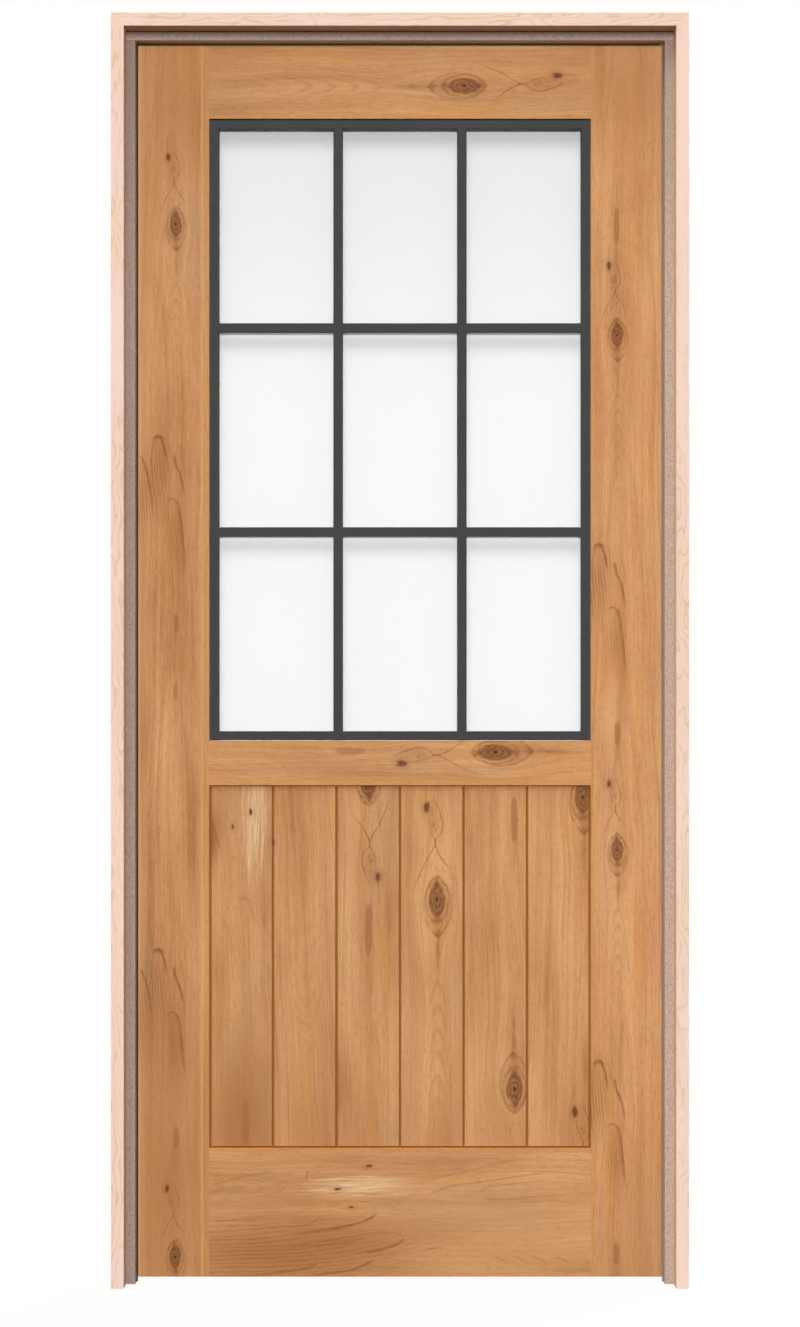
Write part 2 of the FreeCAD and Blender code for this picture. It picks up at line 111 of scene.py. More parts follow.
# The front light is as if through a big screen: it shows no bright spot in steel or glass.
sun("front_light", 0, 2.2, 1.93, 3.6).visible_glossy = False
sun("frame_key_light", -48, 38, 1.25, 24, "frame")
sun("leaf_key_light", -4, 45, 1.12, 30, "leaf")
sun("back_light", 150, 30, 2.6, 24)


class Wire:
    """One output of a shader node. Sums and products of wires add Math nodes."""

    def __init__(self, sheet, socket):
        self.sheet = sheet
        self.socket = socket

    def of(self, output):
        """Another output of the same node."""
        return Wire(self.sheet, self.socket.node.outputs[output])

    def part(self, axis):
        """One of a vector's X, Y and Z."""
        return self.sheet.add("ShaderNodeSeparateXYZ", None, {0: self}).of(axis)

    def work_out(self, operation, first, second):
        return self.sheet.add("ShaderNodeMath", {"operation": operation}, {0: first, 1: second})

    def __add__(self, other):
        return self.work_out("ADD", self, other)

    def __radd__(self, other):
        return self.work_out("ADD", other, self)

    def __sub__(self, other):
        return self.work_out("SUBTRACT", self, other)

    def __rsub__(self, other):
        return self.work_out("SUBTRACT", other, self)

    def __mul__(self, other):
        return self.work_out("MULTIPLY", self, other)

    def __rmul__(self, other):
        return self.work_out("MULTIPLY", other, self)

    def __truediv__(self, other):
        return self.work_out("DIVIDE", self, other)

    def __rtruediv__(self, other):
        return self.work_out("DIVIDE", other, self)

    def __pow__(self, other):
        return self.work_out("POWER", self, other)


class NodeSheet:
    """The node tree of a material, of the world or of a node group."""

    def __init__(self, owner):
        if hasattr(owner, "use_nodes"):
            owner.use_nodes = True
            owner = owner.node_tree
        self.tree = owner
        self.tree.nodes.clear()

    def add(self, kind, settings=None, sockets=None):
        """A node with its settings and its sockets' values or wires. Gives its first output."""
        node = self.tree.nodes.new(kind)
        for name, value in (settings or {}).items():
            setattr(node, name, value)
        for name, value in (sockets or {}).items():
            if isinstance(value, Wire):
                self.tree.links.new(value.socket, node.inputs[name])
            else:
                node.inputs[name].default_value = value
        return Wire(self, node.outputs[0]) if node.outputs else None

    def function(self, operation, value, second=0.0):
        return self.add("ShaderNodeMath", {"operation": operation}, {0: value, 1: second})

    def step(self, value, low, high):
        """Rises smoothly from 0 at low to 1 at high; falls where low is above high."""
        if low > high:
            return 1 - self.step(value, high, low)
        smooth = {"interpolation_type": "SMOOTHSTEP"}
        return self.add("ShaderNodeMapRange", smooth, {"Value": value, "From Min": low, "From Max": high})

    def noise(self, vector, scale, detail=2.0, roughness=0.5):
        sockets = {"Vector": vector, "Scale": scale, "Detail": detail, "Roughness": roughness}
        return self.add("ShaderNodeTexNoise", {"noise_dimensions": "3D"}, sockets)

    def curve(self, value, points):
        """A value read off a smooth curve through points, all of them between 0 and 1."""
        wire = self.add("ShaderNodeFloatCurve", None, {"Value": value})
        mapping = wire.socket.node.mapping
        first, *middle, last = points
        line = mapping.curves[0].points
        line[0].location = first
        line[-1].location = last
        for place in middle:
            line.new(*place)
        mapping.update()
        return wire

    def vector(self, x, y, z):
        return self.add("ShaderNodeCombineXYZ", None, {0: x, 1: y, 2: z})

    def mix(self, factor, first, second):
        """Blends two colours."""
        sockets = {0: factor, 6: first, 7: second}
        return self.add("ShaderNodeMix", {"data_type": "RGBA"}, sockets).of(2)


def paint(red, green, blue):
    """A colour as it looks on a screen, 0 to 255, as the light values that a shader takes."""
    parts = [value / 255 for value in (red, green, blue)]
    light = [p / 12.92 if p <= 0.04045 else ((p + 0.055) / 1.055) ** 2.4 for p in parts]
    return (*light, 1.0)


def seen_directly(sheet):
    """1 where the camera looks at it straight, in a reflection or through glass."""
    path = sheet.add("ShaderNodeLightPath")
    seen = path.of("Is Camera Ray") + path.of("Is Glossy Ray") + path.of("Is Transmission Ray")
    return sheet.function("MINIMUM", seen, 1.0)


ROOM_LIGHT = 0.28
world = bpy.data.worlds.new("studio_white")
bpy.context.scene.world = world
sheet = NodeSheet(world)
shine = seen_directly(sheet)
room = sheet.add("ShaderNodeBackground", None, {"Color": (1, 1, 1, 1), "Strength": ROOM_LIGHT})
white = sheet.add("ShaderNodeBackground", None, {"Color": (1, 1, 1, 1), "Strength": 1.0})
both = sheet.add("ShaderNodeMixShader", None, {0: shine, 1: room, 2: white})
sheet.add("ShaderNodeOutputWorld", None, {"Surface": both})

FLOOR_SIZE = 60.0
FLOOR_DROP = 0.0005
FLOOR_GREY = paint(96, 95, 94)
FLOOR_GLOW = 0.95
floor_mesh = bpy.data.meshes.new("studio_floor")
shape = bmesh.new()
bmesh.ops.create_grid(shape, x_segments=1, y_segments=1, size=FLOOR_SIZE / 2)
bmesh.ops.translate(shape, verts=shape.verts, vec=(middle_x, 0, cad_box[0][2] - FLOOR_DROP))
shape.to_mesh(floor_mesh)
shape.free()
floor = bpy.data.objects.new("studio_floor", floor_mesh)
bpy.context.scene.collection.objects.link(floor)

floor_paint = bpy.data.materials.new("studio_floor")
sheet = NodeSheet(floor_paint)
matt = sheet.add("ShaderNodeBsdfDiffuse", None, {"Color": FLOOR_GREY})
glow_strength = seen_directly(sheet) * FLOOR_GLOW
glow = sheet.add("ShaderNodeEmission", None, {"Color": (1, 1, 1, 1), "Strength": glow_strength})
lit = sheet.add("ShaderNodeAddShader", None, {0: matt, 1: glow})
sheet.add("ShaderNodeOutputMaterial", None, {"Surface": lit})
floor_mesh.materials.append(floor_paint)


# Frame
# Two jambs and a head of one pale, close-grained board, mitred at the corners and left matt. Their
# grain runs with each board's length, and the front faces catch the light.

def dress(node, material):
    """Gives a piece of the frame or the leaf its finish."""
    slots = frame["nodes"][node].data.materials
    slots.clear()
    slots.append(material)


def grain_axes(sheet, node, grain):
    """Where a point lies on a board, in metres: across the grain, along it, and into the face."""
    low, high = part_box(node)
    place = sheet.add("ShaderNodeTexCoord").of("Object")
    x = place.part("X") - low.x
    depth = place.part("Y") - (low.y + high.y) / 2
    z = place.part("Z") - low.z
    return (x, z, depth) if grain == "up" else (z, x, depth)


GRAIN_RELIEF = 0.0006


def finish_surface(sheet, colour, roughness, height, bump, specular, coat=0.0):
    """Joins colour, sheen and grain relief into the material's surface."""
    relief = {"Height": height, "Strength": bump, "Distance": GRAIN_RELIEF}
    surface = {
        "Base Color": colour,
        "Roughness": roughness,
        "Specular IOR Level": specular,
        "Coat Weight": coat,
        "Coat Roughness": 0.4,
        "Normal": sheet.add("ShaderNodeBump", None, relief),
    }
    shader = sheet.add("ShaderNodeBsdfPrincipled", None, surface)
    sheet.add("ShaderNodeOutputMaterial", None, {"Surface": shader})


FRAME_PALE = paint(248, 217, 200)
FRAME_WARM = paint(243, 210, 190)
FRAME_GRAIN = paint(200, 172, 136)
# Painted light for the faces in the opening at the sides, and painted shade under the head.
HINGE_RETURN_PAINTED_LIGHT = paint(248, 212, 186)
LOCK_RETURN_PAINTED_LIGHT = paint(249, 204, 164)
HEAD_RETURN_PAINTED_SHADE = paint(203, 158, 131)
RETURN_SETBACK = 0.0025
RETURN_EDGE = 0.0005
JAMB_THICKNESS = 0.0215
RING_WIDTH = 0.011
RING_DEPTH = 0.02


def frame_wood(node, grain, seed, inner_at, painted_return_light_and_shade):
    """The pale wood of a jamb: faint olive growth lines on pinkish cream.

    The face that looks into the opening, at inner_at across, gets painted light and shade: painted warm
    bounce light on the side jambs, painted shade under the head.
    """
    material = bpy.data.materials.new(f"pale_wood_{node}")
    sheet = NodeSheet(material)
    across, along, depth = grain_axes(sheet, node, grain)
    drift = sheet.noise(sheet.vector(across * 34 + seed, along * 8, depth * 34), 1.0, 2.0)
    rings = sheet.function("FRACT", across / RING_WIDTH + depth / RING_DEPTH + drift * 8)
    line = sheet.step(rings, 0.55, 0.92) * sheet.step(rings, 1.0, 0.92)
    fibre = sheet.noise(sheet.vector(across * 900, along * 22 + seed, depth * 900), 1.0, 2.0)
    patch = sheet.noise(sheet.vector(across * 20, along * 3 + seed, depth * 20), 1.0, 2.0)
    colour = sheet.mix(sheet.step(patch, 0.35, 0.7), FRAME_PALE, FRAME_WARM)
    colour = sheet.mix(line * sheet.step(patch, 0.3, 0.62) * 0.5, colour, FRAME_GRAIN)
    colour = sheet.mix(fibre * 0.12, colour, FRAME_GRAIN)
    low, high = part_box(node)
    half = (high.y - low.y) / 2
    # The faces in the opening take their painted light and painted shade here.
    setback = sheet.step(sheet.function("ABSOLUTE", depth), half, half - RETURN_SETBACK)
    inner = sheet.step(sheet.function("ABSOLUTE", across - inner_at), RETURN_SETBACK, RETURN_EDGE)
    colour = sheet.mix(setback * inner, colour, painted_return_light_and_shade)
    finish_surface(sheet, colour, 0.62 + fibre * 0.1, fibre + line, bump=0.1, specular=0.25)
    return material


dress("hinge_jamb", frame_wood("hinge_jamb", "up", 3.1, JAMB_THICKNESS, HINGE_RETURN_PAINTED_LIGHT))
dress("lock_jamb", frame_wood("lock_jamb", "up", 11.7, 0.0, LOCK_RETURN_PAINTED_LIGHT))
dress("head_jamb", frame_wood("head_jamb", "across", 23.4, 0.0, HEAD_RETURN_PAINTED_SHADE))


# Door stops
# Planted strips of the same board, pinned to the jambs so that the closed leaf comes up against the
# seal on their backs. Their speckled taupe is the pale board painted in shade.

# Painted shade: the pale board's colours as they look in shadow, darker still in the corner.
STOP_TAUPE_PAINTED_SHADE = paint(202, 180, 168)
STOP_FLECK_PAINTED_SHADE = paint(152, 132, 120)
STOP_CORNER_PAINTED_SHADE = paint(104, 82, 70)
STOP_PROJECTION = 0.016
PAINTED_HEAD_SHADOW_REACH = 0.45


def stop_wood(node, grain, darkest_at, painted_corner_shade):
    """A speckled taupe: the pale board in painted shade, with a fine speckle.

    Painted shade darkens it towards the corner with the jamb, and a painted shadow of the head darkens
    the upper end of a side stop.
    """
    material = bpy.data.materials.new(f"painted_shade_taupe_wood_{node}")
    sheet = NodeSheet(material)
    across, along, depth = grain_axes(sheet, node, grain)
    speckle = sheet.noise(sheet.vector(across * 600, along * 420, depth * 600), 1.0, 2.0, 0.7)
    fibre = sheet.noise(sheet.vector(across * 300, along * 9, depth * 300), 1.0, 2.0)
    tone = sheet.step(speckle, 0.40, 0.64) * 0.66 + fibre * 0.2
    colour = sheet.mix(tone, STOP_TAUPE_PAINTED_SHADE, STOP_FLECK_PAINTED_SHADE)
    if grain == "up":
        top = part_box(node)[1].z
        # A painted shadow of the head, darker towards the top.
        painted_upper_shade = sheet.step(along, top - PAINTED_HEAD_SHADOW_REACH, top)
        colour = sheet.mix(painted_upper_shade * 0.5, colour, STOP_FLECK_PAINTED_SHADE)
    # Painted shade in the corner with the jamb.
    corner = sheet.step(sheet.function("ABSOLUTE", across - darkest_at), STOP_PROJECTION, 0.0)
    colour = sheet.mix(corner * painted_corner_shade, colour, STOP_CORNER_PAINTED_SHADE)
    finish_surface(sheet, colour, 0.7, speckle, bump=0.15, specular=0.2)
    return material


# The corner's painted shade is deepest under the head and on the hinge side, away from the light.
dress("hinge_stop", stop_wood("hinge_stop", "up", 0.004, 0.22))
dress("lock_stop", stop_wood("lock_stop", "up", STOP_PROJECTION, 0.04))
dress("head_stop", stop_wood("head_stop", "across", STOP_PROJECTION, 1.0))


# Weather seal
# A black foam-filled strip, fixed round the backs of the stops. The leaf closes against it. On the
# lock side, the lit side, the front of its lip is painted light in the stops' taupe, so it shows no dark
# line.

SEAL_BLACK = paint(38, 38, 39)
SEAL_BLOOM = paint(52, 52, 53)
LIP_DEPTH = 0.004
LOCK_STRIP = 0.020
PAINTED_LIP_EDGE = 0.002


def seal_rubber():
    """Black rubber with the dull bloom that such seals have; the lip on the lock side is painted light in
    the stops' taupe.
    """
    material = bpy.data.materials.new("seal_rubber")
    sheet = NodeSheet(material)
    place = sheet.add("ShaderNodeTexCoord").of("Object")
    bloom = sheet.noise(place, 160.0, 3.0, 0.6)
    colour = sheet.mix(sheet.step(bloom, 0.35, 0.75), SEAL_BLACK, SEAL_BLOOM)
    low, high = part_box("weather_seal")
    lip_back = low.y + LIP_DEPTH
    strip_edge = high.x - LOCK_STRIP
    # The front of the lip on the lock side: painted light in the stops' taupe.
    front = sheet.step(place.part("Y"), lip_back, lip_back - PAINTED_LIP_EDGE)
    lock_side = sheet.step(place.part("X"), strip_edge, strip_edge + PAINTED_LIP_EDGE)
    colour = sheet.mix(front * lock_side * 0.85, colour, STOP_FLECK_PAINTED_SHADE)
    finish_surface(sheet, colour, 0.55 + bloom * 0.15, bloom, bump=0.1, specular=0.3)
    return material


dress("weather_seal", seal_rubber())


# Leaf
# Stiles and rails of knotty alder, mortised and tenoned, under a clear satin finish: straight grain
# towards the edges, flames of late wood along the middle, and knots that the grain flows round.

ALDER_LIGHT = paint(213, 160, 110)
ALDER_MID = paint(195, 140, 92)
ALDER_DEEP = paint(166, 112, 67)
ALDER_WARM = paint(208, 144, 82)
ALDER_ORANGE = paint(224, 155, 96)
ALDER_PINK = paint(200, 143, 103)
ALDER_TAN = paint(181, 146, 108)
REDDISH = paint(158, 101, 58)
LATE_WOOD = paint(132, 83, 45)
KNOT_BROWN = paint(98, 49, 25)
KNOT_HEART = paint(50, 22, 14)
BUD_RED = paint(82, 36, 24)
GUM_BROWN = paint(150, 96, 56)
SAPWOOD = paint(228, 192, 149)
RAGGED_ACROSS = 0.0026
RAGGED_ALONG = 0.004


def bell(sheet, across, along, width, length):
    """1 in the middle, falling off smoothly over a width and a length."""
    return sheet.function("EXPONENT", (across * across / width**2 + along * along / length**2) * -1.0)


class Figure:
    """One kind of mark in the grain, as a node group that stains the colour it is given.

    Its own axes run across and along the grain from the mark's centre, in metres. Ragged noise shifts
    its outlines by a few millimetres, and broken is a mask that wears gaps in its lines.
    """

    def __init__(self, kind):
        self.group = bpy.data.node_groups.new(f"alder_{kind.__name__}", "ShaderNodeTree")
        sockets = self.group.interface
        for name in ("Across", "Along", "Ragged", "Strength"):
            sockets.new_socket(name, in_out="INPUT", socket_type="NodeSocketFloat")
        sockets.new_socket("Color", in_out="INPUT", socket_type="NodeSocketColor")
        sockets.new_socket("Color", in_out="OUTPUT", socket_type="NodeSocketColor")
        self.sheet = NodeSheet(self.group)
        given = self.sheet.add("NodeGroupInput")
        self.ragged = given.of("Ragged")
        self.off = given.of("Across") + self.ragged * RAGGED_ACROSS
        self.on = given.of("Along") + self.ragged * RAGGED_ALONG
        self.strength = given.of("Strength")
        self.broken = self.sheet.step(self.ragged, -0.22, 0.12) * 0.5 + 0.5
        self.colour = given.of("Color")
        kind(self)
        self.sheet.add("NodeGroupOutput", None, {"Color": self.colour})

    def stain(self, amount, colour):
        """Lays a colour over what is there, as strongly as amount says, from 0 to 1."""
        amount = self.sheet.function("MINIMUM", amount * self.strength, 1.0)
        self.colour = self.sheet.mix(amount, self.colour, colour)

    def spot(self, off, on, width, length):
        """1 at a place, falling off smoothly over a width and a length."""
        return bell(self.sheet, self.off - off, self.on - on, width, length)

    def oval(self, off, on, width, length):
        """Distance from a place, 1 on an oval of that half width and half length."""
        across = self.off - off
        along = self.on - on
        return self.sheet.function("SQRT", across * across / width**2 + along * along / length**2)

    def lens(self, off, on, width, length):
        """As an oval, but pointed at both ends along the grain."""
        across = self.sheet.function("ABSOLUTE", self.off - off) / width
        along = (self.on - on) / length
        return across ** 1.3 + along * along

    def line(self, distance, thickness):
        """A soft thin line where a distance is nought."""
        return self.sheet.step(self.sheet.function("ABSOLUTE", distance), thickness, 0.0)

    def below(self, on):
        """How far a point lies below a place, never less than nought."""
        return self.sheet.function("MAXIMUM", on - self.on, 0.0)

    def stroke(self, points, thickness, amount, inward, ends):
        """A line of late wood through points of (across, along), given from its high end down.

        One side of it is sharp, by thickness, and the other fades inward. Both ends thin out over their
        share of its length.
        """
        top, bottom = points[0][1], points[-1][1]
        left = min(across for across, along in points)
        width = max(across for across, along in points) - left
        down = (top - self.on) / (top - bottom)
        path = [((top - along) / (top - bottom), (across - left) / width) for across, along in points]
        distance = self.off - left - self.sheet.curve(down, path) * width
        sharp = -thickness if inward > 0 else thickness
        body = self.sheet.step(distance, sharp, 0.0) * self.sheet.step(distance, inward, 0.0)
        fade = self.sheet.step(down, 0.0, ends[0]) * self.sheet.step(down, 1.0, 1.0 - ends[1])
        self.stain(body * fade * self.broken * amount, LATE_WOOD)

    def strokes(self, *lines):
        for line in lines:
            self.stroke(*line)

    def comb(self, place, spacing):
        """Lines of late wood side by side, each sharp on one side and fading out on the other."""
        turns = self.sheet.function("FRACT", place / spacing)
        return self.sheet.step(turns, 0.0, 0.12) * self.sheet.step(turns, 0.60, 0.12)

    def crown(self, off, on, half_width, drop, thickness, amount):
        """The round top of a flame: an arch whose ends hang down by drop."""
        side = (self.off - off) / half_width
        height = self.on - on + side * side * drop
        body = self.sheet.step(height, thickness, 0.0) * self.sheet.step(height, -thickness * 2.2, 0.0)
        fade = self.sheet.step(self.sheet.function("ABSOLUTE", side), 1.15, 0.45)
        self.stain(body * fade * self.broken * amount, LATE_WOOD)


def knot(figure):
    """An old branch cut across: a ringed brown oval with a dark heart, and a tail in the grain."""
    sheet = figure.sheet
    reach = figure.oval(-0.0003, -0.0003, 0.0086, 0.0168) + figure.ragged * 0.75
    rings = sheet.function("SINE", reach * 15.0 + figure.ragged * 6) * 0.5 + 0.5
    halo = figure.lens(0.0004, -0.008, 0.0168, 0.0365) + figure.ragged * 0.3
    figure.stain(sheet.step(halo, 1.4, 0.35) * 0.34, REDDISH)
    figure.stain(figure.line(halo - 1.0, 0.17) * (figure.broken * 0.9 - 0.45), LATE_WOOD)
    figure.stain(figure.line(reach - 1.62, 0.22) * (figure.broken * 0.9 - 0.4), LATE_WOOD)
    figure.stain(sheet.step(reach, 1.32, 0.84) * (rings * 0.36 + 0.48), KNOT_BROWN)
    figure.stain(figure.line(reach - 1.1, 0.18) * figure.broken * 0.42, KNOT_BROWN)
    figure.stain(figure.spot(-0.001, 0.0205, 0.0032, 0.0052) * 0.6, KNOT_BROWN)
    figure.crown(0.001, 0.0205, 0.0125, 0.0060, 0.0012, 0.55)
    figure.stain(figure.spot(0.0, -0.0225, 0.0046, 0.0060) * 0.5, KNOT_BROWN)
    figure.stain(figure.spot(-0.0004, 0, 0.0019, 0.0024) * 0.95, KNOT_HEART)
    foot = figure.below(-0.033) * 1.05
    chevron = sheet.function("ABSOLUTE", figure.off - 0.0013) - (0.0125 - foot)
    figure.stain(figure.line(chevron, 0.0030) * figure.spot(0.001, -0.041, 0.007, 0.008) * 0.6, LATE_WOOD)
    figure.stain(figure.spot(0.001, -0.0405, 0.0036, 0.0050) * 0.42, KNOT_BROWN)
    figure.stain(figure.spot(0.001, -0.065, 0.0027, 0.026) * (figure.broken * 0.7 - 0.05), LATE_WOOD)


def eye(figure):
    """A healed bud: a fine leaf-shaped line with a dark pin knot at its top. Lines part below it."""
    figure.stain(figure.spot(-0.001, 0.002, 0.012, 0.026) * 0.2, REDDISH)
    figure.strokes(
        ([(-0.0021, 0.0300), (0.0035, 0.0200), (0.0068, 0.0094), (0.0092, 0.0007), (0.0080, -0.0097),
          (0.0045, -0.0150), (0.0, -0.0193)], 0.0013, 0.72, -0.0016, (0.1, 0.02)),
        ([(-0.0095, 0.012), (-0.0072, 0.0), (-0.0052, -0.0097), (-0.0026, -0.0150), (0.0, -0.0193)],
         0.0012, 0.60, 0.0014, (0.4, 0.02)),
        ([(0.0002, -0.0175), (0.0, -0.0290)], 0.0016, 0.90, 0.0016, (0.1, 0.2)),
        ([(0.0, -0.0245), (0.0020, -0.0310), (0.0060, -0.0392), (0.0110, -0.0468), (0.0175, -0.0550),
          (0.0230, -0.0650)], 0.0014, 0.78, -0.0018, (0.05, 0.5)),
        ([(0.0, -0.0245), (-0.0042, -0.0330), (-0.0085, -0.0404), (-0.0128, -0.0475), (-0.0185, -0.0610),
          (-0.0240, -0.0750), (-0.0262, -0.0900)], 0.0013, 0.66, 0.0017, (0.05, 0.5)),
        ([(-0.0125, 0.060), (-0.0118, 0.040), (-0.0112, 0.022)], 0.0013, 0.42, 0.0017, (0.3, 0.1)),
    )
    small = figure.oval(-0.0012, -0.004, 0.0032, 0.0056) + figure.ragged * 0.5
    figure.stain(figure.line(small - 1.0, 0.4) * 0.22, LATE_WOOD)
    figure.stain(figure.spot(-0.0016, -0.0019, 0.0013, 0.0016) * 0.6, KNOT_BROWN)
    figure.stain(figure.spot(0.0, -0.0066, 0.0012, 0.0014) * 0.4, KNOT_BROWN)
    bud = figure.oval(-0.0108, 0.0200, 0.0028, 0.0058) + figure.ragged * 2.4
    figure.stain(figure.spot(-0.0112, 0.0185, 0.0062, 0.0092) * 0.5, LATE_WOOD)
    figure.stain(figure.sheet.step(bud, 1.6, 0.6) * 0.74, BUD_RED)


def arches(figure):
    """Growth lines that the saw has cut across: faint arches, one within the next."""
    fall = 0 - figure.on - figure.off * figure.off * 260
    edge = figure.comb(fall + figure.ragged * 0.008, 0.0265)
    inside = figure.sheet.step(fall, -0.001, 0.002) * figure.spot(0, -0.055, 0.0135, 0.085)
    figure.stain(inside * edge * figure.broken * 0.4, LATE_WOOD)
    figure.stain(figure.spot(0, -0.06, 0.011, 0.07) * 0.3, ALDER_LIGHT)


def flame(figure):
    """Tongues of late wood one below the other, each with a thick crown and one long dark side."""
    sheet = figure.sheet
    figure.stain(figure.spot(0.002, -0.070, 0.019, 0.065) * 0.34, ALDER_DEEP)
    figure.stain(figure.spot(0.0285, -0.160, 0.014, 0.055) * 0.42, REDDISH)
    figure.stain(figure.spot(-0.030, -0.110, 0.011, 0.07) * 0.34, ALDER_DEEP)
    sway = sheet.noise(sheet.vector(figure.off * 40, figure.on * 7, 0.0), 1.0, 2.0)
    fingers = figure.comb(figure.off + figure.on * 0.09 + sway * 0.012, 0.0052)
    figure.stain(fingers * figure.spot(-0.004, -0.070, 0.017, 0.052) * 0.62, LATE_WOOD)
    figure.stain(fingers * figure.spot(0.026, -0.17, 0.016, 0.05) * 0.30, LATE_WOOD)
    figure.stain(fingers * figure.spot(-0.026, -0.12, 0.014, 0.08) * 0.44, LATE_WOOD)
    figure.stain(figure.spot(0.0005, -0.002, 0.0070, 0.0045) * 0.45, LATE_WOOD)
    figure.strokes(
        ([(0.002, 0.001), (0.008, -0.010), (0.012, -0.024), (0.0145, -0.038), (0.017, -0.055)],
         0.0020, 0.95, -0.0060, (0.03, 0.6)),
        ([(0.015, 0.002), (0.018, -0.015), (0.0215, -0.042)], 0.0013, 0.30, -0.0022, (0.3, 0.4)),
        ([(-0.003, -0.001), (-0.0095, -0.014), (-0.012, -0.035), (-0.0105, -0.08), (-0.008, -0.13)],
         0.0016, 0.45, 0.0050, (0.03, 0.6)),
        ([(0.027, -0.027), (0.030, -0.046), (0.037, -0.064), (0.042, -0.082), (0.047, -0.125)],
         0.0020, 0.92, -0.0060, (0.08, 0.65)),
        ([(0.034, -0.010), (0.041, -0.034), (0.0445, -0.055), (0.047, -0.085)],
         0.0013, 0.32, -0.0022, (0.2, 0.5)),
        ([(0.029, -0.108), (0.035, -0.118), (0.0385, -0.138), (0.042, -0.170), (0.047, -0.238)],
         0.0016, 0.75, -0.0080, (0.03, 0.5)),
        ([(-0.034, -0.030), (-0.027, -0.042), (-0.019, -0.068), (-0.014, -0.10), (-0.011, -0.145)],
         0.0020, 0.80, 0.0050, (0.08, 0.55)),
    )
    figure.crown(-0.0005, 0.001, 0.0115, 0.0075, 0.0024, 0.85)
    figure.crown(0.0225, -0.106, 0.0095, 0.004, 0.0017, 0.60)


def streak(figure):
    """A gum streak: a narrow brown column, blunt at both ends, with a faint tail below it."""
    side = figure.off / 0.0050
    rise = figure.on / 0.0200
    body = side * side + rise * rise * rise * rise + figure.ragged * 1.8
    figure.stain(figure.spot(0, -0.030, 0.0056, 0.026) * 0.32, REDDISH)
    figure.stain(figure.sheet.step(body, 1.5, 0.3) * 0.62, GUM_BROWN)


def pin(figure):
    """A pin knot: a small ragged brown dot with a fine ring round it."""
    reach = figure.oval(0, 0, 0.0018, 0.0043) + figure.ragged * 1.3
    figure.stain(figure.spot(0, 0, 0.0065, 0.009) * 0.3, REDDISH)
    figure.stain(figure.line(reach - 2.7, 0.6) * 0.16, LATE_WOOD)
    figure.stain(figure.sheet.step(reach, 1.9, 0.7) * 0.8, KNOT_BROWN)
    figure.stain(figure.spot(0, 0, 0.0012, 0.0021) * 0.8, KNOT_HEART)


def sapwood(figure):
    """A patch of pale outer wood, drawn out into streaks."""
    sheet = figure.sheet
    streaks = sheet.noise(sheet.vector(figure.off * 210, figure.on * 15, 0.0), 1.0, 3.0, 0.6)
    threads = sheet.noise(sheet.vector(figure.off * 560, figure.on * 30, 0.0), 1.0, 2.0, 0.6)
    reach = figure.oval(0, 0, 0.017, 0.058) + (streaks - 0.5) * 2.8
    figure.stain(sheet.step(reach, 1.25, 0.3) * (sheet.step(threads, 0.38, 0.60) * 0.6 + 0.14), SAPWOOD)


def bark_side(figure):
    """Dark lines from near the bark, at a board's edge, measured from its lower corner."""
    figure.stain(figure.spot(0.002, 0.520, 0.013, 0.040) * 0.7, LATE_WOOD)
    figure.stroke([(0.004, 0.561), (0.0125, 0.527), (0.0235, 0.5013), (0.032, 0.490)],
                  0.0020, 0.62, -0.0050, (0.2, 0.5))
    figure.stroke([(0.002, 0.545), (0.007, 0.517), (0.014, 0.496)], 0.0016, 0.45, -0.0040, (0.2, 0.6))
    figure.stroke([(0.010, 0.616), (0.018, 0.608), (0.026, 0.597)], 0.0016, 0.5, -0.0040, (0.2, 0.6))


def ripple(figure):
    """Small crossing waves in the grain, measured from their middle."""
    sheet = figure.sheet
    swing = sheet.function("SINE", figure.on * 260 + figure.off * 150)
    waves = figure.off * 0.55 + figure.on * 0.9 + swing * 0.0022 + figure.ragged * 0.004
    figure.stain(figure.comb(waves, 0.0080) * figure.spot(0, 0, 0.011, 0.034) * 0.34, LATE_WOOD)
    figure.stain(figure.spot(0, 0, 0.010, 0.030) * 0.22, ALDER_LIGHT)


def shade(figure):
    """A soft brown cloud in the wood."""
    figure.stain(figure.spot(0, 0, 0.03, 0.06) * 0.55, ALDER_DEEP)


def tan_band(figure):
    """A grey-tan growth band that runs the length of a board."""
    figure.stain(figure.line(figure.off, 0.0048) * 0.55, ALDER_TAN)


def pale_band(figure):
    """A pale growth band that runs the length of a board."""
    figure.stain(figure.line(figure.off, 0.0045) * 0.5, ALDER_LIGHT)


def warm_band(figure):
    """A bright orange growth band near a stile's outer edge."""
    figure.stain(figure.line(figure.off, 0.0075) * 0.7, ALDER_ORANGE)


